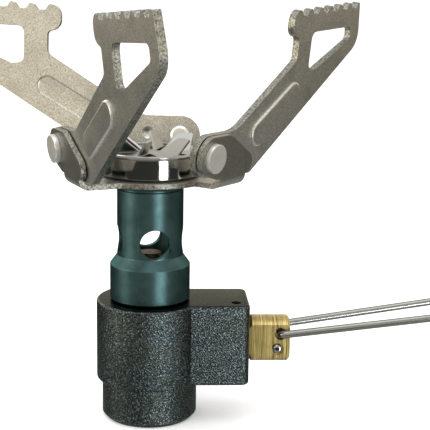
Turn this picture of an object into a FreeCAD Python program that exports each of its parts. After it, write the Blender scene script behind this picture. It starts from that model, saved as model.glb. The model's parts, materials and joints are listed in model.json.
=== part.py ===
import FreeCAD, Part
import math
import os

# Screw-on canister stove, in millimetres. +Z is up, and the origin is on the axis of the
# mixing tube at the bottom face of the collar. The valve spindle leaves the body along +X.

# Valve body
COLLAR_R = 7.25
COLLAR_TOP = 6.0
BARREL_R = 8.1
BODY_TOP = 18.4
BLOCK_END = 15.0
BLOCK_HALF_WIDTH = 5.25
BLOCK_CORNER_R = 1.2
EDGE_R = 0.4
SPIGOT_R = 4.45
SPIGOT_TOP = 22.5
PASSAGE_R = 0.7
CHAMBER_START = 4.6

# Canister socket: thread, relief groove, then a smaller pocket for the seal
SOCKET_R = 5.56
SOCKET_DEPTH = 6.4
RELIEF_R = 5.8
RELIEF_TOP = 7.4
SEAL_POCKET_R = 4.35
SEAL_POCKET_TOP = 9.4
SEAL_MAJOR_R = 3.3
SEAL_MINOR_R = 0.95
CANISTER_PIN_R = 1.05
CANISTER_PIN_FLANGE_R = 1.6
CANISTER_PIN_FLANGE = 1.2
CANISTER_PIN_BORE_R = 0.4
CANISTER_PIN_TIP = 6.55

# Gas jet, screwed into the top of the body, with its filter
JET_THREAD_R = 1.9
JET_BOTTOM = 17.0
JET_HEX_R = 2.9
JET_HEX_BOTTOM = 22.6
JET_NOSE_BOTTOM = 24.2
JET_TOP = 25.6
JET_BORE_R = 0.6
JET_ORIFICE_R = 0.15
FILTER_R = 1.2
FILTER_HEIGHT = 1.6
FILTER_BOTTOM = JET_BOTTOM + 0.3

# Mixing tube
TUBE_LOWER_R = 6.06
TUBE_UPPER_R = 5.0
CONE_BOTTOM = 23.9
CONE_TOP = 25.35
TUBE_FLANGE_R = 6.95
TUBE_FLANGE_BOTTOM = 35.85
TUBE_FLANGE_EDGE = 36.3
TUBE_BORE_R = 3.95
TUBE_SOCKET_R = 4.5
AIR_HOLE_R = 2.19
AIR_HOLE_Z = 27.7
AIR_HOLE_COUNT = 4
AIR_HOLE_TURN = -81.3

# Base plate and its tabs
PLATE_R = 8.8
SHEET = 0.8
PLATE_TOP = 37.5
TAB_LEAN = 6.3
BEND_R = 0.8
ROOT_LEFT = 2.2
ROOT_RIGHT = 8.8
SPIGOT_HOLE_R = 4.45

# Arms. Each lies in its own leaning plane with its rivet as the local origin:
# local x runs along the arm's plane, local y up it, and local z outward.
ARM_COUNT = 3
FIRST_ARM_TURN = -37.64
ARM_STEP = -120.0
PIVOT_Z = 41.72
PIVOT_OFFSET = 12.6
PIVOT_ALONG = -3.13
ARM_THICKNESS = 1.1
PIVOT_LOBE_R = 3.05
SIDE_GAP = 0.15
RIB_START = (12.5, 2.05)
RIB_END = (21.4, 7.3)
RIB_R = 1.65
RIB_WALL = 0.25
RIB_DEPTH = 0.35
DIMPLE_PLACE = (5.1, 0.3)
DIMPLE_R = 1.3
DIMPLE_DEPTH = 0.45
TOOTH_COUNT = 6
TOOTH_PITCH = 3.1
TOOTH_DEPTH = 0.88
FIRST_NOTCH = 22.4
TOOTH_LINE_SLOPE = 0.062
HEAD_TOP = 20.05

# Rivets
RIVET_R = 1.0
RIVET_PLAY = 0.05
RIVET_HEAD_R = 2.1
RIVET_HEAD = 0.8
RIVET_TAIL_R = 1.5
RIVET_TAIL = 0.5

# Burner
CUP_R = 7.4
CUP_RIM_R = 7.85
CUP_WALL = 0.4
CUP_TOP = 41.3
SPREADER_R = 6.8
SPREADER_RECESS = 0.75
VANE_COUNT = 6
VANE_SHEET = 0.35
VANE_TILT = 56.0
VANE_TURN = 12.0
VANE_INNER = 1.4
VANE_OUTER = 5.9
VANE_REACH = 3.1
VANE_SLANT = 1.0
VANE_TIP_WIDTH = 2.4

# Valve spindle, its handle and seals
SPINDLE_Z = 12.0
SPINDLE_HEAD_R = 3.56
SPINDLE_HEAD_START = 15.08
SPINDLE_END = 21.4
SPINDLE_SHANK_R = 2.5
SPINDLE_BORE_R = 2.58
FLAT_HALF = 2.43
SPINDLE_REST_TURN = -2.0
GLAND_R = 3.0
GLAND_DEPTH = 0.8
NECK_R = 2.0
NECK_START = 11.0
O_RING_MAJOR_R = 2.25
O_RING_MINOR_R = 0.3
O_RING_X = 9.2
HANDLE_X = 19.95
HANDLE_RISE = 1.2
CROSS_HOLE_R = 0.95
SPINDLE_PIN_X = 19.5
SPINDLE_PIN_DROP = 1.2
SPINDLE_PIN_R = 0.78
SINK_DEPTH = 0.3
SINK_GAP = 0.17
RETAINING_PIN_R = 0.75
RETAINING_PIN_X = 13.0
RETAINING_PIN_Y = -2.95
RETAINING_PIN_BOTTOM = 9.5
RETAINING_PIN_RECESS = 1.0
WIRE_R = 0.575
LEG_HALF_WIDTH = 3.1
LOOP_LENGTH = 28.2

X_AXIS = FreeCAD.Vector(1, 0, 0)
Y_AXIS = FreeCAD.Vector(0, 1, 0)
Z_AXIS = FreeCAD.Vector(0, 0, 1)
ORIGIN = FreeCAD.Vector(0, 0, 0)
# How far a cutting tool runs past the face it cuts, and the gap left at a close fit
OVERSHOOT = 0.5
FIT_GAP = 0.05


def vec(x, y, z=0.0):
    return FreeCAD.Vector(x, y, z)


def save(shape, node):
    """Write one node. Every node is a clean solid or a group of them."""
    shape.exportStep("parts/" + node + ".step")


def disc(radius, bottom, top):
    return Part.makeCylinder(radius, top - bottom, vec(0, 0, bottom), Z_AXIS)


def rod_along_x(radius, start, end):
    return Part.makeCylinder(radius, end - start, vec(start, 0, 0), X_AXIS)


def rod_between(start, end, radius):
    return Part.makeCylinder(radius, (end - start).Length, start, end - start)


def rounded_edges(corners, closed):
    """Straight runs joined by tangent arcs, from a list of (point, corner radius)."""
    count = len(corners)
    edges = []
    last_end = None
    first_start = None
    for index, (point, radius) in enumerate(corners):
        is_end = not closed and index in (0, count - 1)
        if radius == 0 or is_end:
            start = end = point
        else:
            before = (corners[index - 1][0] - point).normalize()
            after = (corners[(index + 1) % count][0] - point).normalize()
            half_angle = before.getAngle(after) / 2
            setback = radius / math.tan(half_angle)
            start = point + before * setback
            end = point + after * setback
            bisector = (before + after).normalize()
            middle = point + bisector * (radius / math.sin(half_angle) - radius)
        if last_end is not None and (start - last_end).Length > 1e-6:
            edges.append(Part.LineSegment(last_end, start).toShape())
        if first_start is None:
            first_start = start
        if start is not end:
            edges.append(Part.Arc(start, middle, end).toShape())
        last_end = end
    if closed and (first_start - last_end).Length > 1e-6:
        edges.append(Part.LineSegment(last_end, first_start).toShape())
    return Part.Wire(edges)


def flat_face(corners):
    """A flat face in the local x-y plane from (x, y, corner radius) triples."""
    wire = rounded_edges([(vec(x, y), radius) for x, y, radius in corners], True)
    return Part.Face(wire)


def plate(corners, bottom, top):
    face = flat_face(corners)
    face.translate(vec(0, 0, bottom))
    return face.extrude(vec(0, 0, top - bottom))


def revolved(profile, axis=Z_AXIS):
    """Turn a closed (radius, height) polygon about Z, or a (radius, distance) one about X."""
    if axis is Z_AXIS:
        points = [vec(radius, 0, height) for radius, height in profile]
    else:
        points = [vec(height, radius, 0) for radius, height in profile]
    wire = Part.makePolygon(points + [points[0]])
    return Part.Face(wire).revolve(ORIGIN, axis, 360)


def arm_placement(index):
    """The local frame of an arm: origin on its rivet's axis, on the arm's outer face."""
    turn = math.radians(FIRST_ARM_TURN + ARM_STEP * index)
    lean = math.radians(TAB_LEAN)
    radial = vec(math.cos(turn), math.sin(turn))
    along = vec(-math.sin(turn), math.cos(turn))
    up = radial * math.sin(lean) + Z_AXIS * math.cos(lean)
    outward = radial * math.cos(lean) - Z_AXIS * math.sin(lean)
    base = radial * PIVOT_OFFSET + along * PIVOT_ALONG + Z_AXIS * PIVOT_Z
    return FreeCAD.Placement(FreeCAD.Matrix(
        along.x, up.x, outward.x, base.x,
        along.y, up.y, outward.y, base.y,
        along.z, up.z, outward.z, base.z,
        0, 0, 0, 1))


def placed(shape, placement):
    moved = shape.copy()
    moved.Placement = placement.multiply(moved.Placement)
    return moved


def spindle_frame(shape):
    """Raise a part made about the X axis to the spindle's axis, at its turn at rest."""
    moved = shape.copy()
    moved.rotate(ORIGIN, X_AXIS, SPINDLE_REST_TURN)
    moved.translate(vec(0, 0, SPINDLE_Z))
    return moved


# ---------------------------------------------------------------- valve body

def make_valve_body():
    collar = revolved([(0, 0), (COLLAR_R - 0.5, 0), (COLLAR_R, 0.6), (COLLAR_R, COLLAR_TOP), (0, COLLAR_TOP)])
    barrel = disc(BARREL_R, COLLAR_TOP, BODY_TOP)
    block = plate([(0, -BLOCK_HALF_WIDTH, 0),
                   (BLOCK_END, -BLOCK_HALF_WIDTH, BLOCK_CORNER_R),
                   (BLOCK_END, BLOCK_HALF_WIDTH, BLOCK_CORNER_R),
                   (0, BLOCK_HALF_WIDTH, 0)], COLLAR_TOP, BODY_TOP)
    trunk = barrel.fuse(block).removeSplitter()
    rims = [edge for edge in trunk.Edges
            if abs(edge.BoundBox.ZMin - edge.BoundBox.ZMax) < 1e-6]
    trunk = trunk.makeFillet(EDGE_R, rims)
    body = trunk.fuse([collar, disc(SPIGOT_R, BODY_TOP - 1, SPIGOT_TOP)])

    cuts = [
        disc(SOCKET_R, -OVERSHOOT, SOCKET_DEPTH + OVERSHOOT),
        disc(RELIEF_R, SOCKET_DEPTH, RELIEF_TOP),
        disc(SEAL_POCKET_R, RELIEF_TOP - OVERSHOOT, SEAL_POCKET_TOP),
        disc(CANISTER_PIN_FLANGE_R, RELIEF_TOP, SEAL_POCKET_TOP + CANISTER_PIN_FLANGE),
        disc(PASSAGE_R, SEAL_POCKET_TOP, SPINDLE_Z),
        disc(JET_THREAD_R, JET_BOTTOM, SPIGOT_TOP + OVERSHOOT),
        rod_between(vec(CHAMBER_START + 2.2, 0, SPINDLE_Z + 1), vec(0.6, 0, JET_BOTTOM + 0.3), PASSAGE_R),
    ]
    bore = [rod_along_x(SPINDLE_BORE_R, CHAMBER_START, BLOCK_END + 1),
            rod_along_x(PASSAGE_R, -PASSAGE_R, CHAMBER_START + 1),
            rod_along_x(GLAND_R, BLOCK_END - GLAND_DEPTH, BLOCK_END + 1)]
    for cut in bore:
        cut.translate(vec(0, 0, SPINDLE_Z))
    pin_hole = Part.makeCylinder(RETAINING_PIN_R, BODY_TOP - RETAINING_PIN_BOTTOM + 1,
                                 vec(RETAINING_PIN_X, RETAINING_PIN_Y, RETAINING_PIN_BOTTOM), Z_AXIS)
    return body.cut(cuts + bore + [pin_hole])


def make_canister_pin():
    """The hollow pin that pushes the canister's valve open. A slot across its tip lets gas in."""
    top = SEAL_POCKET_TOP + CANISTER_PIN_FLANGE
    tip_bevel = 0.3
    pin = revolved([(0, CANISTER_PIN_TIP), (CANISTER_PIN_R - tip_bevel, CANISTER_PIN_TIP),
                    (CANISTER_PIN_R, CANISTER_PIN_TIP + tip_bevel), (CANISTER_PIN_R, SEAL_POCKET_TOP),
                    (CANISTER_PIN_FLANGE_R, SEAL_POCKET_TOP), (CANISTER_PIN_FLANGE_R, top), (0, top)])
    slot_width = 0.5
    slot = Part.makeBox(slot_width, 4 * CANISTER_PIN_R, 1.0 + OVERSHOOT,
                        vec(-slot_width / 2, -2 * CANISTER_PIN_R, CANISTER_PIN_TIP - OVERSHOOT))
    bore = disc(CANISTER_PIN_BORE_R, CANISTER_PIN_TIP, top + OVERSHOOT)
    return pin.cut([bore, slot])


def make_canister_seal():
    height = SEAL_POCKET_TOP - SEAL_MINOR_R - FIT_GAP
    return Part.makeTorus(SEAL_MAJOR_R, SEAL_MINOR_R, vec(0, 0, height), Z_AXIS)


def make_jet():
    thread = disc(JET_THREAD_R, FILTER_BOTTOM, JET_HEX_BOTTOM)
    corners = []
    for index in range(6):
        turn = math.radians(60 * index)
        corners.append(vec(JET_HEX_R * math.cos(turn), JET_HEX_R * math.sin(turn), JET_HEX_BOTTOM))
    hexagon = Part.Face(Part.makePolygon(corners + [corners[0]]))
    head = hexagon.extrude(vec(0, 0, JET_NOSE_BOTTOM - JET_HEX_BOTTOM + FIT_GAP))
    nose = revolved([(0, JET_NOSE_BOTTOM), (JET_HEX_R - 0.6, JET_NOSE_BOTTOM), (JET_THREAD_R - 0.2, JET_TOP),
                     (0, JET_TOP)])
    orifice_depth = 0.8
    cuts = [disc(JET_BORE_R, JET_BOTTOM, JET_TOP - orifice_depth),
            disc(FILTER_R, JET_BOTTOM, FILTER_BOTTOM + FILTER_HEIGHT),
            disc(JET_ORIFICE_R, JET_TOP - 2 * orifice_depth, JET_TOP + OVERSHOOT)]
    return thread.fuse([head, nose]).cut(cuts)


def make_jet_filter():
    return disc(FILTER_R, FILTER_BOTTOM + FIT_GAP, FILTER_BOTTOM + FILTER_HEIGHT)


def make_retaining_pin():
    height = BODY_TOP - RETAINING_PIN_RECESS - RETAINING_PIN_BOTTOM
    return Part.makeCylinder(RETAINING_PIN_R, height,
                             vec(RETAINING_PIN_X, RETAINING_PIN_Y, RETAINING_PIN_BOTTOM), Z_AXIS)


# ---------------------------------------------------------------- mixing tube

def make_mixing_tube():
    groove = 0.25
    groove_top = TUBE_FLANGE_BOTTOM - 0.15
    groove_bottom = groove_top - 0.3
    top = PLATE_TOP - SHEET
    lip_top = PLATE_TOP + CUP_WALL + 0.6
    outside = [
        (0, BODY_TOP + 0.05), (TUBE_LOWER_R - 0.25, BODY_TOP + 0.05), (TUBE_LOWER_R, BODY_TOP + 0.3),
        (TUBE_LOWER_R, CONE_BOTTOM), (TUBE_UPPER_R, CONE_TOP), (TUBE_UPPER_R, groove_bottom),
        (TUBE_UPPER_R - groove, groove_bottom), (TUBE_UPPER_R - groove, groove_top),
        (TUBE_UPPER_R, groove_top), (TUBE_UPPER_R, TUBE_FLANGE_BOTTOM),
        (TUBE_FLANGE_R, TUBE_FLANGE_EDGE), (TUBE_FLANGE_R, top),
        (SPIGOT_HOLE_R, top), (SPIGOT_HOLE_R, lip_top), (0, lip_top)]
    tube = revolved(outside)
    cuts = [disc(TUBE_SOCKET_R, BODY_TOP - 1, SPIGOT_TOP + 0.5), disc(TUBE_BORE_R, SPIGOT_TOP, lip_top + 1)]
    for index in range(AIR_HOLE_COUNT):
        turn = math.radians(AIR_HOLE_TURN + 360 / AIR_HOLE_COUNT * index)
        direction = vec(math.cos(turn), math.sin(turn))
        cuts.append(Part.makeCylinder(AIR_HOLE_R, 2 * TUBE_LOWER_R, vec(0, 0, AIR_HOLE_Z), direction))
    return tube.cut(cuts)


# ---------------------------------------------------------------- base plate and tabs

def bend_profile():
    """The strip from the plate round the bend into the tab, in the arm's local y-z plane."""
    lean = math.radians(TAB_LEAN)
    floor = (PLATE_TOP - PIVOT_Z) / math.cos(lean)
    inner_z = SIDE_GAP
    centre_z = inner_z - BEND_R
    # height of the bend's centre: BEND_R above the plate's top face
    centre_y = floor + (BEND_R + centre_z * math.sin(lean)) / math.cos(lean)
    down = vec(0, -math.cos(lean), math.sin(lean))
    out = vec(0, 0, 1)
    half = (down + out).normalize()
    inward = vec(0, -math.sin(lean), -math.cos(lean))
    centre = vec(0, centre_y, centre_z)
    outer_r = BEND_R + SHEET
    reach = 7.0
    rise = -centre_y - 3.0
    inner = [centre + down * BEND_R, centre + half * BEND_R, centre + out * BEND_R]
    outer = [centre + out * outer_r, centre + half * outer_r, centre + down * outer_r]
    up = vec(0, rise, 0)
    edges = [
        Part.LineSegment(inner[0] + inward * reach, inner[0]).toShape(),
        Part.Arc(*inner).toShape(),
        Part.LineSegment(inner[2], inner[2] + up).toShape(),
        Part.LineSegment(inner[2] + up, outer[0] + up).toShape(),
        Part.LineSegment(outer[0] + up, outer[0]).toShape(),
        Part.Arc(*outer).toShape(),
        Part.LineSegment(outer[2], outer[2] + inward * reach).toShape(),
        Part.LineSegment(outer[2] + inward * reach, inner[0] + inward * reach).toShape(),
    ]
    return Part.Face(Part.Wire(edges))


def make_tab():
    """One tab with its root, in the arm's local frame."""
    face = bend_profile()
    face.translate(vec(ROOT_LEFT, 0, 0))
    root = face.extrude(vec(ROOT_RIGHT - ROOT_LEFT, 0, 0))
    lobe = 3.0
    bend_top = -3.3
    tab = plate([(-lobe, lobe, lobe - 0.05),
                 (-lobe, -1.6, 2.2),
                 (ROOT_LEFT - 0.8, bend_top, 0.8),
                 (ROOT_LEFT, bend_top, 0),
                 (ROOT_RIGHT, bend_top, 0),
                 (10.3, bend_top, 1.4),
                 (10.3, -0.75, 1.4),
                 (4.1, lobe, 2.2)], SIDE_GAP, SIDE_GAP + SHEET)
    hole = Part.makeCylinder(RIVET_R, 4, vec(0, 0, -1), Z_AXIS)
    return root.fuse(tab).cut(hole)


def make_base_plate():
    parts = []
    for index in range(ARM_COUNT):
        parts.append(placed(make_tab(), arm_placement(index)))
    base = disc(PLATE_R, PLATE_TOP - SHEET, PLATE_TOP).fuse(parts).removeSplitter()
    return base.cut(disc(SPIGOT_HOLE_R, 0, PLATE_TOP + 1))


# ---------------------------------------------------------------- arms and rivets

def arm_outline():
    corners = [
        (-PIVOT_LOBE_R, PIVOT_LOBE_R, PIVOT_LOBE_R - 0.02),
        (-PIVOT_LOBE_R, -PIVOT_LOBE_R, PIVOT_LOBE_R - 0.02),
        (0.9, -PIVOT_LOBE_R, 1.2),
        (2.9, -3.75, 1.2),
        (11.4, -3.75, 0.7),
        (40.75, 14.58, 3.4),
        (39.65, HEAD_TOP + TOOTH_LINE_SLOPE * 18.3, 0.3),
    ]
    for index in reversed(range(TOOTH_COUNT)):
        centre = FIRST_NOTCH + TOOTH_PITCH * index
        top = HEAD_TOP + TOOTH_LINE_SLOPE * (centre - 21.3)
        corners += [(centre + 1.2, top, 0.15), (centre + 0.6, top - TOOTH_DEPTH, 0.3),
                    (centre - 0.6, top - TOOTH_DEPTH, 0.3), (centre - 1.2, top, 0.15)]
    corners += [
        (19.3, HEAD_TOP, 1.7),
        (19.3, 16.2, 1.7),
        (21.45, 16.0, 0.7),
        (21.45, 12.4, 1.2),
        (6.5, PIVOT_LOBE_R, 6.0),
    ]
    return corners


def make_arm():
    """One arm in its local frame. Its outer face is at local z = 0."""
    arm = plate(arm_outline(), -ARM_THICKNESS, 0)
    window = plate([(25.2, 11.0, 1.0), (27.3, 10.75, 1.2), (37.7, 15.2, 0.9), (37.6, 17.3, 0.8),
                    (25.2, 16.7, 1.2)], -ARM_THICKNESS - OVERSHOOT, OVERSHOOT)
    ridge = rib_bar(RIB_R + RIB_WALL, -FIT_GAP, RIB_DEPTH)
    groove = rib_bar(RIB_R, -ARM_THICKNESS - OVERSHOOT, RIB_DEPTH - ARM_THICKNESS)
    hole = Part.makeCylinder(RIVET_R + RIVET_PLAY, 4, vec(0, 0, -2), Z_AXIS)
    dimple = Part.makeSphere(DIMPLE_R, vec(*DIMPLE_PLACE, DIMPLE_DEPTH - ARM_THICKNESS - DIMPLE_R))
    return arm.fuse(ridge).cut([window, groove, hole, dimple])


def rib_bar(radius, bottom, top):
    """The pressed rib as a bar with round ends, its far face rounded over at the rim."""
    start = vec(*RIB_START)
    end = vec(*RIB_END)
    run = (end - start).normalize()
    side = vec(-run.y, run.x) * radius
    edges = [
        Part.LineSegment(start + side, end + side).toShape(),
        Part.Arc(end + side, end + run * radius, end - side).toShape(),
        Part.LineSegment(end - side, start - side).toShape(),
        Part.Arc(start - side, start - run * radius, start + side).toShape(),
    ]
    face = Part.Face(Part.Wire(edges))
    face.translate(vec(0, 0, bottom))
    bar = face.extrude(vec(0, 0, top - bottom))
    rim = [edge for edge in bar.Edges if edge.BoundBox.ZMin > top - 1e-3]
    return bar.makeFillet(RIB_DEPTH - FIT_GAP, rim)


def make_rivet():
    """One rivet in the arm's local frame: head outside the tab, tail inside the arm."""
    head_bottom = SIDE_GAP + SHEET
    head_top = head_bottom + RIVET_HEAD
    tail_top = -ARM_THICKNESS - SIDE_GAP
    tail_bottom = tail_top - RIVET_TAIL
    return revolved([(0, tail_bottom), (RIVET_TAIL_R - 0.35, tail_bottom), (RIVET_TAIL_R, tail_bottom + 0.25),
                     (RIVET_TAIL_R, tail_top), (RIVET_R, tail_top), (RIVET_R, head_bottom),
                     (RIVET_HEAD_R, head_bottom), (RIVET_HEAD_R, head_top - 0.08),
                     (RIVET_HEAD_R - 0.08, head_top), (0, head_top)])


# ---------------------------------------------------------------- burner

def make_burner_cup():
    floor = PLATE_TOP + 0.02
    inner = CUP_R - CUP_WALL
    profile = [(SPIGOT_HOLE_R, floor), (CUP_R - 0.3, floor), (CUP_R, floor + 0.3),
               (CUP_R, CUP_TOP - 0.65), (CUP_RIM_R - 0.1, CUP_TOP - 0.5), (CUP_RIM_R, CUP_TOP - 0.3),
               (CUP_RIM_R - 0.1, CUP_TOP - 0.08), (CUP_RIM_R - 0.35, CUP_TOP),
               (inner + 0.1, CUP_TOP - 0.1), (inner, CUP_TOP - 0.4),
               (inner, floor + CUP_WALL), (SPIGOT_HOLE_R, floor + CUP_WALL)]
    return revolved(profile)


def make_flame_spreader():
    """A disc with slanted vanes cut from it and bent up about radial fold lines."""
    bottom = CUP_TOP - SPREADER_RECESS
    top = bottom + VANE_SHEET
    vanes = []
    slots = []
    for index in range(VANE_COUNT):
        turn = 360 / VANE_COUNT * index + VANE_TURN
        vane = plate([(VANE_INNER, 0, 0),
                      (VANE_OUTER, 0, 0),
                      (VANE_OUTER + VANE_SLANT, VANE_REACH, 0.2),
                      (VANE_OUTER + VANE_SLANT - VANE_TIP_WIDTH, VANE_REACH, 0.4)], 0, VANE_SHEET)
        vane.rotate(ORIGIN, X_AXIS, VANE_TILT)
        vane.translate(vec(0, 0, bottom + FIT_GAP))
        vane.rotate(ORIGIN, Z_AXIS, turn)
        vanes.append(vane)
        # the slot left in the disc, kept clear of the fold and of the disc's rim
        slot = plate([(VANE_INNER + 0.4, 0.4, 0),
                      (VANE_OUTER - 0.2, 0.4, 0),
                      (VANE_OUTER - 0.2, 2.3, 0.4),
                      (VANE_OUTER - 1.9, 2.3, 0.4)], bottom - OVERSHOOT, top + OVERSHOOT)
        slot.rotate(ORIGIN, Z_AXIS, turn)
        slots.append(slot)
    return disc(SPREADER_R, bottom, top).cut(slots).fuse(vanes)


# ---------------------------------------------------------------- spindle and handle

def make_valve_spindle():
    needle_tip = 0.35
    groove_r = O_RING_MAJOR_R - O_RING_MINOR_R - 0.03
    groove_half = O_RING_MINOR_R + 0.1
    body = revolved([
        (0, CHAMBER_START - 1.2), (needle_tip, CHAMBER_START - 1.2), (1.2, CHAMBER_START + 2.2),
        (1.2, CHAMBER_START + 2.8), (SPINDLE_SHANK_R, CHAMBER_START + 3.2),
        (SPINDLE_SHANK_R, O_RING_X - groove_half), (groove_r, O_RING_X - groove_half),
        (groove_r, O_RING_X + groove_half), (SPINDLE_SHANK_R, O_RING_X + groove_half),
        (SPINDLE_SHANK_R, NECK_START), (NECK_R, NECK_START), (NECK_R, SPINDLE_HEAD_START),
        (SPINDLE_HEAD_R - 0.5, SPINDLE_HEAD_START), (SPINDLE_HEAD_R, SPINDLE_HEAD_START + 0.5),
        (SPINDLE_HEAD_R, SPINDLE_END - 0.35), (SPINDLE_HEAD_R - 0.35, SPINDLE_END), (0, SPINDLE_END)], X_AXIS)
    cuts = []
    for side in (-1, 1):
        outer = FLAT_HALF if side > 0 else -FLAT_HALF - SPINDLE_HEAD_R
        cuts.append(Part.makeBox(SPINDLE_END, SPINDLE_HEAD_R, 4 * SPINDLE_HEAD_R,
                                 vec(SPINDLE_HEAD_START, outer, -2 * SPINDLE_HEAD_R)))
    cuts.append(cross_rod(HANDLE_X, HANDLE_RISE, CROSS_HOLE_R, 2 * SPINDLE_HEAD_R))
    cuts.append(cross_rod(SPINDLE_PIN_X, -SPINDLE_PIN_DROP, SPINDLE_PIN_R, 2 * SPINDLE_HEAD_R))
    for side in (-1, 1):
        inner_end = vec(SPINDLE_PIN_X, side * FLAT_HALF - SINK_DEPTH, -SPINDLE_PIN_DROP)
        cuts.append(Part.makeCylinder(SPINDLE_PIN_R + SINK_GAP, 2 * SINK_DEPTH, inner_end, Y_AXIS))
    return spindle_frame(body.cut(cuts))


def cross_rod(x, height, radius, half_length):
    return Part.makeCylinder(radius, 2 * half_length, vec(x, -half_length, height), Y_AXIS)


def make_spindle_pin():
    """The pin pressed through the spindle's head, with domed ends."""
    pin = cross_rod(SPINDLE_PIN_X, -SPINDLE_PIN_DROP, SPINDLE_PIN_R, FLAT_HALF + 0.1)
    rims = [edge for edge in pin.Edges if edge.BoundBox.YLength < 1e-3]
    return spindle_frame(pin.makeFillet(SPINDLE_PIN_R * 0.6, rims))


def make_spindle_o_ring():
    ring = Part.makeTorus(O_RING_MAJOR_R, O_RING_MINOR_R, vec(O_RING_X, 0, 0), X_AXIS)
    return spindle_frame(ring)


def handle_path():
    """Half of the loop, from inside the cross hole to the middle of its far end."""
    return [
        ((0.0, 0.7, 0.0), 0),
        ((0.0, LEG_HALF_WIDTH, 0.0), 0.7),
        ((LOOP_LENGTH - 2.2, 4.65, 3.46), 3.2),
        ((LOOP_LENGTH, 1.8, 3.76), 2.2),
    ]


def make_wire_handle():
    half = handle_path()
    near = [(vec(HANDLE_X + x, -y, HANDLE_RISE + z), r) for (x, y, z), r in half]
    far = [(vec(HANDLE_X + x, y, HANDLE_RISE + z), r) for (x, y, z), r in reversed(half)]
    path = rounded_edges(near + far, False)
    start = path.Edges[0].Vertexes[0].Point
    section = Part.Wire(Part.makeCircle(WIRE_R, start, Y_AXIS))
    return spindle_frame(path.makePipeShell([section], True, True))


def main():
    os.makedirs("parts", exist_ok=True)
    save(make_valve_body(), "valve_body")
    save(make_canister_pin(), "canister_pin")
    save(make_canister_seal(), "canister_seal")
    save(make_jet(), "jet")
    save(make_jet_filter(), "jet_filter")
    save(make_retaining_pin(), "retaining_pin")
    save(make_mixing_tube(), "mixing_tube")
    save(make_base_plate(), "base_plate")
    save(make_burner_cup(), "burner_cup")
    save(make_flame_spreader(), "flame_spreader")
    arm = make_arm()
    rivet = make_rivet()
    for index in range(ARM_COUNT):
        number = str(index + 1)
        save(placed(arm, arm_placement(index)), "arm_" + number)
        save(placed(rivet, arm_placement(index)), "rivet_" + number)
    save(make_valve_spindle(), "valve_spindle")
    save(make_spindle_o_ring(), "spindle_o_ring")
    save(make_spindle_pin(), "spindle_pin")
    save(make_wire_handle(), "wire_handle")


main()
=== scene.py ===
import json
import math

import bmesh
import bpy
from mathutils import Matrix, Vector


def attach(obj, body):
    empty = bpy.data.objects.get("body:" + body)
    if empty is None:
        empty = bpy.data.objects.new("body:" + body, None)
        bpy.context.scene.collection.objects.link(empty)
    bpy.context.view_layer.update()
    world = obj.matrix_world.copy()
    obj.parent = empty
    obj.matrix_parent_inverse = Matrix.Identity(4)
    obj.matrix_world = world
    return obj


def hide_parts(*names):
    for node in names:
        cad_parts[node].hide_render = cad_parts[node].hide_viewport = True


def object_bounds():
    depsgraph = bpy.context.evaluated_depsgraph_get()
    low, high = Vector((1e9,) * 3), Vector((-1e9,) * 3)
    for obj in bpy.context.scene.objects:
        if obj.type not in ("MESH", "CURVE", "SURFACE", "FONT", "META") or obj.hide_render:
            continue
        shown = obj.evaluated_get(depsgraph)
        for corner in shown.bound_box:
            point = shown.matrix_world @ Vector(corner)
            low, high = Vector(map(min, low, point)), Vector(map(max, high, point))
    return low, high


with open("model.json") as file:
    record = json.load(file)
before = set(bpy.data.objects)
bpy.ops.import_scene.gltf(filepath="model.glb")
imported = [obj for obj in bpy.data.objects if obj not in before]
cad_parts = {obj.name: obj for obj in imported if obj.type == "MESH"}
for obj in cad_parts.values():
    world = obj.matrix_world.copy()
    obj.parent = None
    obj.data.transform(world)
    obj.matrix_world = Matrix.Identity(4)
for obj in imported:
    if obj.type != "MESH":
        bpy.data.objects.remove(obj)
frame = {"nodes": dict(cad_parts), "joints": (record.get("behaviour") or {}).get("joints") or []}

CAD_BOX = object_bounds()
MM = 0.001
UP = Vector((0, 0, 1))

# Points nearer than MERGE_GAP become one point, faces that meet within FLAT_ANGLE become one flat
# face, and an edge that bends by more than SHARP_ANGLE is rounded
MERGE_GAP = 0.0005 * MM
FLAT_ANGLE = math.radians(0.2)
SHARP_ANGLE = math.radians(28)

# Camera: place in millimetres, turns in degrees, lens for a 36 mm sensor
CAMERA_PLACE = (0.0, -165.98, 66.26)
CAMERA_YAW = 3.36
CAMERA_PITCH = 11.88
CAMERA_ROLL = 0.94
CAMERA_LENS = 94.28

# The pressed rib of an arm, in millimetres in the arm's own plane from its rivet. Within
# RIB_REACH of its middle line lie the rib and its rim.
RIB_START = (12.5, 2.05)
RIB_END = (21.4, 7.3)
RIB_REACH = 2.25
ARM_COUNT = 3

# Rounding of an arm's edges, in millimetres: the rib's are full, and the cut edges a share of it
ARM_EDGE = 0.24
CUT_EDGE_SHARE = 0.4

# A tab of the base plate, in millimetres from its rivet: it starts this far inside, and its cut
# sides reach down to this far below
TAB_INSIDE = -1.0
TAB_SIDE_BOTTOM = -3.2

FLOOR_GAP = 0.02 * MM

# What gloss sees of the studio, by height: 0 straight down, 0.5 level, 1 straight up
STUDIO_SHADES = [
    (0.0, (0.45, 0.45, 0.43)), (0.28, (0.62, 0.625, 0.60)), (0.35, (0.07, 0.07, 0.06)),
    (0.45, (0.04, 0.045, 0.04)), (0.49, (0.5, 0.44, 0.34)), (0.53, (1.45, 1.24, 0.88)),
    (0.64, (1.0, 0.94, 0.82)), (1.0, (0.62, 0.63, 0.62)),
]


# ---------------------------------------------------------------- materials

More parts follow.
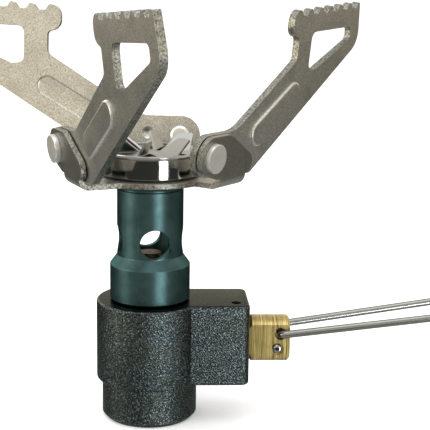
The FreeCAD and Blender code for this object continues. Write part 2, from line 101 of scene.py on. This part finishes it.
class Nodes:
    """A short way to write a material's node tree, with its textures in the object's coordinates."""

    def __init__(self, name):
        self.material = bpy.data.materials.new(name)
        self.material.use_nodes = True
        self.tree = self.material.node_tree
        self.shader = self.tree.nodes["Principled BSDF"]
        self.place = self.add("ShaderNodeTexCoord").outputs["Object"]

    def add(self, kind, inputs=None, **settings):
        """A new node with these inputs, each a number or another node's output."""
        node = self.tree.nodes.new(kind)
        for key, value in settings.items():
            setattr(node, key, value)
        for key, value in (inputs or {}).items():
            self.join(value, node.inputs[key])
        return node

    def join(self, value, socket):
        if isinstance(value, bpy.types.NodeSocket):
            self.tree.links.new(value, socket)
        else:
            socket.default_value = value

    def set(self, **values):
        """Set the shader's sockets, named with _ for each space."""
        for key, value in values.items():
            self.join(value, self.shader.inputs[key.replace("_", " ")])

    def noise(self, size_mm, detail=2.0, stretch=(1, 1, 1), roughness=0.55):
        """Noise whose features are about size_mm across, stretched along the axes."""
        scale = [1 / (size_mm * MM * factor) for factor in stretch]
        spread = self.add("ShaderNodeMapping", {"Vector": self.place, "Scale": scale})
        noise = self.add("ShaderNodeTexNoise", {"Vector": spread.outputs["Vector"], "Scale": 1.0,
                                                "Detail": detail, "Roughness": roughness})
        return noise.outputs["Fac"]

    def ramp(self, value, stops):
        """A colour that runs through (position, colour) stops as value goes from 0 to 1."""
        node = self.add("ShaderNodeValToRGB", {"Fac": value})
        elements = node.color_ramp.elements
        while len(elements) < len(stops):
            elements.new(0.5)
        for element, (position, shade) in zip(elements, stops):
            element.position = position
            element.color = (*shade, 1)
        return node.outputs["Color"]

    def span(self, value, low, high):
        """Value from 0 to 1 carried to the range from low to high."""
        node = self.add("ShaderNodeMapRange", {"Value": value, "To Min": low, "To Max": high})
        return node.outputs["Result"]

    def step(self, value, start, end, low=0.0, high=1.0):
        """Value from start to end carried to the range from low to high, and held beyond it."""
        node = self.add("ShaderNodeMapRange", {"Value": value, "From Min": start, "From Max": end,
                                               "To Min": low, "To Max": high})
        return node.outputs["Result"]

    def mix(self, fac, first, second):
        node = self.add("ShaderNodeMix", {"Factor": fac}, data_type="RGBA")
        self.join(first, node.inputs["A"])
        self.join(second, node.inputs["B"])
        return node.outputs["Result"]

    def multiply(self, first, second):
        node = self.add("ShaderNodeMath", operation="MULTIPLY")
        self.join(first, node.inputs[0])
        self.join(second, node.inputs[1])
        return node.outputs["Value"]

    def bump(self, height, depth_mm, under=None):
        """A relief from height, on top of the relief under it."""
        node = self.add("ShaderNodeBump", {"Height": height, "Distance": depth_mm * MM})
        if under is not None:
            self.join(under, node.inputs["Normal"])
        return node.outputs["Normal"]


def colour(red, green, blue):
    return (red, green, blue, 1.0)


def blasted_metal():
    """The valve body: dark anodised over a coarse blasted surface, smoother on its turned top."""
    m = Nodes("blasted_metal")
    grit = m.noise(0.23, detail=2.0, roughness=0.6)
    fine = m.noise(0.12, detail=2.0, roughness=0.6)
    broad = m.noise(3.0)
    normal = m.add("ShaderNodeNewGeometry").outputs["Normal"]
    up = m.add("ShaderNodeSeparateXYZ", {"Vector": normal}).outputs["Z"]
    smooth_top = m.step(up, 0.75, 0.97)
    speck = m.ramp(grit, [(0.38, (0.016, 0.021, 0.023)), (0.55, (0.062, 0.079, 0.085)),
                          (0.68, (0.22, 0.265, 0.28))])
    tinted = m.mix(m.step(broad, 0.35, 0.7, 0.0, 0.35), speck, colour(0.060, 0.060, 0.042))
    m.set(Base_Color=m.mix(smooth_top, tinted, colour(0.010, 0.012, 0.012)),
          Roughness=m.span(fine, 0.18, 0.32), Metallic=1.0, Specular_Tint=colour(0.62, 0.64, 0.62))
    rough = m.step(smooth_top, 0.0, 1.0, 1.0, 0.12)
    under = m.bump(m.multiply(grit, rough), 0.10)
    m.set(Normal=m.bump(m.multiply(fine, rough), 0.03, under))
    return m.material


def worn_edge():
    """Edges of the valve body, where the dark finish is rubbed thin."""
    m = Nodes("worn_edge")
    patch = m.noise(0.5, detail=3.0)
    m.set(Base_Color=m.ramp(patch, [(0.42, (0.05, 0.055, 0.055)), (0.62, (0.34, 0.34, 0.31))]),
          Roughness=0.42, Metallic=0.85, Normal=m.bump(m.noise(0.2), 0.03))
    return m.material


def anodised_tube():
    """Turned and anodised: fine rings round the tube, slight blotches in the colour."""
    m = Nodes("anodised_tube")
    rings = m.noise(0.09, detail=1.0, stretch=(40, 40, 1))
    grain = m.noise(0.12, detail=2.0)
    blotch = m.noise(2.5, detail=3.0)
    m.set(Base_Color=m.ramp(blotch, [(0.3, (0.050, 0.100, 0.106)), (0.7, (0.086, 0.156, 0.164))]),
          Roughness=m.span(grain, 0.34, 0.46), Metallic=1.0, Specular_Tint=colour(0.35, 0.4, 0.4),
          Normal=m.bump(rings, 0.0015, m.bump(grain, 0.016)))
    return m.material


def sheet_metal(name, low, high, roughness):
    """Tumbled titanium sheet: a fine speckle between two shades, with cloudy darker patches."""
    m = Nodes(name)
    speckle = m.noise(0.20, detail=3.0, roughness=0.65)
    cloud = m.noise(4.0, detail=3.0)
    base = m.ramp(speckle, [(0.34, low), (0.66, high)])
    darker = m.mix(m.step(cloud, 0.4, 0.75, 0.0, 0.3), base, colour(*[0.6 * part for part in low]))
    m.set(Base_Color=darker, Roughness=m.span(speckle, roughness - 0.08, roughness + 0.08), Metallic=1.0,
          Normal=m.bump(speckle, 0.026))
    return m.material


def sheared_edge():
    """The cut edge of the sheet: a bright sheared band with a torn, darker part."""
    m = Nodes("sheared_edge")
    tear = m.noise(0.24, detail=2.0, roughness=0.55)
    m.set(Base_Color=m.ramp(tear, [(0.32, (0.09, 0.09, 0.075)), (0.46, (0.26, 0.255, 0.225)),
                                   (0.68, (0.50, 0.49, 0.445))]),
          Roughness=m.span(tear, 0.55, 0.35), Metallic=1.0, Normal=m.bump(tear, 0.03))
    return m.material


def polished_steel(name, tint, roughness):
    """Steel, or another plain metal by its tint, with fine hair scratches and duller smears."""
    m = Nodes(name)
    hair = m.noise(0.08, detail=2.0, stretch=(1, 1, 18))
    smear = m.noise(1.6, detail=2.0)
    m.set(Base_Color=m.mix(m.step(smear, 0.35, 0.75, 0.0, 0.4), colour(*tint),
                           colour(*[0.75 * part for part in tint])),
          Roughness=m.span(hair, roughness, roughness + 0.1), Metallic=1.0, Normal=m.bump(hair, 0.003))
    return m.material


def milled_brass():
    """Brass with the fine upright lines of a milling cutter and a few dull stains."""
    m = Nodes("milled_brass")
    lines = m.noise(0.11, detail=2.0, stretch=(1, 60, 60), roughness=0.6)
    stain = m.noise(1.4, detail=4.0)
    bright = m.ramp(lines, [(0.36, (0.20, 0.15, 0.055)), (0.62, (0.78, 0.62, 0.26))])
    m.set(Base_Color=m.mix(m.step(stain, 0.5, 0.8, 0.0, 0.5), bright, colour(0.30, 0.20, 0.07)),
          Roughness=m.span(lines, 0.28, 0.45), Metallic=1.0, Normal=m.bump(lines, 0.012))
    return m.material


def rubber():
    """Dark rubber with a fine matt grain."""
    m = Nodes("rubber")
    grain = m.noise(0.15, detail=3.0)
    m.set(Base_Color=m.ramp(grain, [(0.3, (0.012, 0.012, 0.012)), (0.7, (0.03, 0.03, 0.03))]),
          Roughness=m.span(grain, 0.55, 0.8), Normal=m.bump(grain, 0.01))
    return m.material


def sintered_bronze():
    """Bronze powder pressed together, with dark pores between its grains."""
    m = Nodes("sintered_bronze")
    grain = m.noise(0.12, detail=2.0, roughness=0.7)
    m.set(Base_Color=m.ramp(grain, [(0.4, (0.06, 0.04, 0.02)), (0.65, (0.50, 0.36, 0.18))]),
          Roughness=0.6, Metallic=0.8, Normal=m.bump(grain, 0.05))
    return m.material


# ---------------------------------------------------------------- pieces

def make_piece(name, mesh, *materials):
    """A new object with these materials, added to the scene."""
    piece = bpy.data.objects.new(name, mesh)
    bpy.context.scene.collection.objects.link(piece)
    mesh.materials.clear()
    for material in materials:
        mesh.materials.append(material)
    return piece


def clean_copy(node):
    """The mesh of a CAD node with its flat faces whole again, ready for rounding."""
    mesh = frame["nodes"][node].data.copy()
    if "custom_normal" in mesh.attributes:
        mesh.attributes.remove(mesh.attributes["custom_normal"])
    bm = bmesh.new()
    bm.from_mesh(mesh)
    bmesh.ops.remove_doubles(bm, verts=bm.verts, dist=MERGE_GAP)
    bmesh.ops.dissolve_limit(bm, angle_limit=FLAT_ANGLE, verts=bm.verts, edges=bm.edges)
    for face in bm.faces:
        face.smooth = True
        face.material_index = 0
    bm.to_mesh(mesh)
    bm.free()
    return mesh


def round_edges(piece, width_mm, material_index=-1, limit="ANGLE", segments=2):
    bevel = piece.modifiers.new("edges", "BEVEL")
    bevel.width = width_mm * MM
    bevel.segments = segments
    bevel.limit_method = limit
    bevel.angle_limit = SHARP_ANGLE
    bevel.harden_normals = True
    bevel.miter_outer = "MITER_ARC"
    bevel.material = material_index
    # points that the bevel leaves on top of each other are made one
    weld = piece.modifiers.new("weld", "WELD")
    weld.merge_threshold = MERGE_GAP


def stand_for(node, body, width_mm, *materials, edge_index=-1, finish=None):
    """A rounded copy of a CAD node that stands for it and rides on its body."""
    piece = make_piece(node + "_piece", clean_copy(node), *materials)
    piece.data.set_sharp_from_angle(angle=SHARP_ANGLE)
    round_edges(piece, width_mm, edge_index)
    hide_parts(node)
    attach(piece, body)
    return piece


def arm_axes(number):
    """An arm's rivet place and its own axes: along the arm, up its plane, and outward."""
    joint = next(j for j in frame["joints"] if j["name"] == "arm_%d_fold" % number)
    outward = Vector(joint["axis"]).normalized()
    along = UP.cross(outward).normalized()
    return Vector(joint["pos_m"]), along, outward.cross(along), outward


def is_on_rib(x, y):
    """Whether a point of the arm's plane, in millimetres, lies on the pressed rib or its rim."""
    start = Vector(RIB_START)
    run = Vector(RIB_END) - start
    offset = Vector((x, y)) - start
    share = min(max(offset.dot(run) / run.length_squared, 0), 1)
    return (offset - run * share).length < RIB_REACH


def make_arm(number, faces, edges):
    """A support arm: its sides take one finish and its cut edges another; the rib is softly rounded."""
    node = "arm_%d" % number
    piece = make_piece(node + "_piece", clean_copy(node), faces, edges)
    pivot, along, up, outward = arm_axes(number)
    mesh = piece.data
    bm = bmesh.new()
    bm.from_mesh(mesh)
    weight = bm.edges.layers.float.new("bevel_weight_edge")
    bm.normal_update()
    for face in bm.faces:
        centre = (face.calc_center_median() - pivot) / MM
        on_rib = is_on_rib(centre.dot(along), centre.dot(up))
        if abs(face.normal.dot(outward)) < 0.5 and not on_rib:
            face.material_index = 1
    for edge in bm.edges:
        if edge.calc_face_angle(0) > SHARP_ANGLE:
            middle = ((edge.verts[0].co + edge.verts[1].co) / 2 - pivot) / MM
            on_rib = is_on_rib(middle.dot(along), middle.dot(up))
            edge[weight] = 1.0 if on_rib else CUT_EDGE_SHARE
    bm.to_mesh(mesh)
    bm.free()
    mesh.set_sharp_from_angle(angle=SHARP_ANGLE)
    round_edges(piece, ARM_EDGE, limit="WEIGHT", segments=3)
    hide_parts(node)
    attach(piece, "support_arm_%d" % number)
    return piece


def mark_cut_edges(piece):
    """Give the second material to the cut faces of the base plate and its tabs."""
    axes = [arm_axes(number) for number in range(1, ARM_COUNT + 1)]
    for polygon in piece.data.polygons:
        pivot, along, up, outward = min(axes, key=lambda one: (one[0] - polygon.center).length)
        place = polygon.center - pivot
        if place.dot(outward) < TAB_INSIDE * MM:
            # the disc's rim and its hole
            is_cut = abs(polygon.normal.z) < 0.6
        else:
            is_outline = abs(polygon.normal.dot(outward)) < 0.5 and place.dot(up) > TAB_SIDE_BOTTOM * MM
            is_bend_side = abs(polygon.normal.dot(along)) > 0.7
            is_cut = is_outline or is_bend_side
        if is_cut:
            polygon.material_index = 1


def build_body(finishes):
    stand_for("valve_body", "stove", 0.12, finishes["blasted"], finishes["worn"], edge_index=1,
              finish="body_black")
    stand_for("retaining_pin", "stove", 0.08, finishes["dark_steel"], finish="steel")
    stand_for("canister_pin", "stove", 0.06, finishes["brass"], finish="brass")
    stand_for("canister_seal", "stove", 0.02, finishes["rubber"], finish="rubber")
    # the jet's near-black brass is painted shade for the inside of the tube
    stand_for("jet", "stove", 0.06, finishes["jet_brass_painted_shade"], finish="brass")
    stand_for("jet_filter", "stove", 0.05, finishes["sintered"], finish="sintered_metal")


def build_burner(finishes):
    stand_for("mixing_tube", "stove", 0.07, finishes["tube"], finish="tube_anodised")
    # the base plate's darker titanium is partly painted shade
    base = stand_for("base_plate", "stove", 0.09, finishes["tab"], finishes["sheared"], finish="titanium")
    mark_cut_edges(base)
    stand_for("burner_cup", "stove", 0.05, finishes["cup"], finish="stainless")
    stand_for("flame_spreader", "stove", 0.04, finishes["vanes"], finish="spreader_steel")


def build_arms(finishes):
    for number in range(1, ARM_COUNT + 1):
        make_arm(number, finishes["arm"], finishes["sheared"])
        stand_for("rivet_%d" % number, "stove", 0.12, finishes["rivet"], finish="rivet_steel")


def build_valve(finishes):
    stand_for("valve_spindle", "spindle", 0.10, finishes["brass"], finish="brass")
    stand_for("spindle_pin", "spindle", 0.05, finishes["cup"], finish="steel")
    stand_for("spindle_o_ring", "sliding_seal", 0.02, finishes["rubber"], finish="rubber")
    stand_for("wire_handle", "handle", 0.1, finishes["wire"], finish="wire_steel")


# ---------------------------------------------------------------- camera, floor and light

def make_camera():
    """The camera at the stove's front, a little above it."""
    yaw = math.radians(CAMERA_YAW)
    pitch = math.radians(CAMERA_PITCH)
    forward = Vector((math.sin(yaw) * math.cos(pitch), math.cos(yaw) * math.cos(pitch), -math.sin(pitch)))
    data = bpy.data.cameras.new("camera")
    data.lens = CAMERA_LENS
    data.sensor_width = 36
    data.clip_start = 0.01
    camera = bpy.data.objects.new("camera", data)
    camera.location = Vector(CAMERA_PLACE) * MM
    level = forward.to_track_quat("-Z", "Y").to_matrix()
    roll = Matrix.Rotation(math.radians(CAMERA_ROLL), 3, "Z")
    camera.rotation_euler = (level @ roll).to_euler()
    bpy.context.scene.collection.objects.link(camera)
    bpy.context.scene.camera = camera


def make_floor():
    """A pale floor just under the stove, which gloss doesn't see."""
    mesh = bpy.data.meshes.new("floor")
    reach = 9.0
    height = CAD_BOX[0].z - FLOOR_GAP
    corners = [(-reach, -reach), (reach, -reach), (reach, reach), (-reach, reach)]
    mesh.from_pydata([(x, y, height) for x, y in corners], [], [(0, 1, 2, 3)])
    m = Nodes("floor")
    m.set(Base_Color=colour(0.93, 0.93, 0.925), Roughness=0.9, Emission_Color=colour(1, 1, 1),
          Emission_Strength=0.25)
    floor = make_piece("floor", mesh, m.material)
    floor.visible_glossy = False


def make_world():
    """Even white light for matt surfaces, and for gloss a studio that is dark just below level."""
    world = bpy.data.worlds.new("studio")
    world.use_nodes = True
    bpy.context.scene.world = world
    tree = world.node_tree
    background = tree.nodes["Background"]
    place = tree.nodes.new("ShaderNodeTexCoord")
    parts = tree.nodes.new("ShaderNodeSeparateXYZ")
    ramp = tree.nodes.new("ShaderNodeValToRGB")
    shift = tree.nodes.new("ShaderNodeMapRange")
    shift.inputs["From Min"].default_value = -1
    elements = ramp.color_ramp.elements
    while len(elements) < len(STUDIO_SHADES):
        elements.new(0.5)
    for element, (position, shade) in zip(elements, STUDIO_SHADES):
        element.position = position
        element.color = (*shade, 1)
    rays = tree.nodes.new("ShaderNodeLightPath")
    chosen = tree.nodes.new("ShaderNodeMix")
    chosen.data_type = "RGBA"
    tree.links.new(place.outputs["Generated"], parts.inputs["Vector"])
    tree.links.new(parts.outputs["Z"], shift.inputs["Value"])
    tree.links.new(shift.outputs["Result"], ramp.inputs["Fac"])
    tree.links.new(rays.outputs["Is Glossy Ray"], chosen.inputs["Factor"])
    chosen.inputs["A"].default_value = (0.95, 0.95, 0.95, 1)
    tree.links.new(ramp.outputs["Color"], chosen.inputs["B"])
    tree.links.new(chosen.outputs["Result"], background.inputs["Color"])
    background.inputs["Strength"].default_value = 1.0


def make_softbox(name, azimuth, distance, height, size, watts, tint=(1, 1, 1)):
    """A soft light aimed at the stove, with its place and size in metres.

    Azimuth 0 stands at the camera's side, and 90 on the right.
    """
    data = bpy.data.lights.new(name, "AREA")
    data.shape = "RECTANGLE"
    data.size, data.size_y = size
    data.energy = watts
    data.color = tint
    light = bpy.data.objects.new(name, data)
    turn = math.radians(azimuth)
    light.location = (distance * math.sin(turn), -distance * math.cos(turn), height)
    target = Vector((0, 0, 0.03))
    light.rotation_euler = (target - light.location).to_track_quat("-Z", "Y").to_euler()
    bpy.context.scene.collection.objects.link(light)
    return light


def make_lights():
    make_softbox("strip", 30, 0.45, -0.06, (0.13, 0.24), 1.1, (0.94, 1, 1))
    make_softbox("left_fill", -75, 0.6, 0.15, (0.30, 0.5), 1.3, (1, 0.97, 0.84))
    make_softbox("back_rim", -150, 0.6, 0.3, (0.4, 0.4), 1.2, (1, 0.95, 0.86))
    make_softbox("overhead", 10, 0.1, 0.7, (0.6, 0.6), 1.6)


def main():
    scene = bpy.context.scene
    scene.view_settings.view_transform = "Standard"
    finishes = {
        "blasted": blasted_metal(),
        "worn": worn_edge(),
        "tube": anodised_tube(),
        "arm": sheet_metal("titanium_sheet", (0.43, 0.425, 0.40), (0.88, 0.87, 0.82), 0.36),
        # The base plate's titanium is darker than the arms': partly its blasted finish, partly painted
        # shade for the shadow its tabs stand in
        "tab": sheet_metal("titanium_plate_and_painted_shade", (0.22, 0.22, 0.20), (0.38, 0.38, 0.34), 0.40),
        "sheared": sheared_edge(),
        "cup": polished_steel("polished_cup", (0.42, 0.42, 0.41), 0.06),
        "vanes": polished_steel("bright_vanes", (0.46, 0.46, 0.44), 0.30),
        "rivet": polished_steel("rivet_steel", (0.97, 0.97, 0.95), 0.40),
        "wire": polished_steel("wire_steel", (0.30, 0.30, 0.29), 0.12),
        "dark_steel": polished_steel("dark_steel", (0.05, 0.05, 0.05), 0.4),
        "brass": milled_brass(),
        # The jet's brass is near-black: painted shade for the dark inside of the tube where the jet sits
        "jet_brass_painted_shade": polished_steel("jet_brass_painted_shade", (0.04, 0.032, 0.02), 0.45),
        "sintered": sintered_bronze(),
        "rubber": rubber(),
    }
    build_body(finishes)
    build_burner(finishes)
    build_arms(finishes)
    build_valve(finishes)
    make_floor()
    make_world()
    make_lights()
    make_camera()


main()
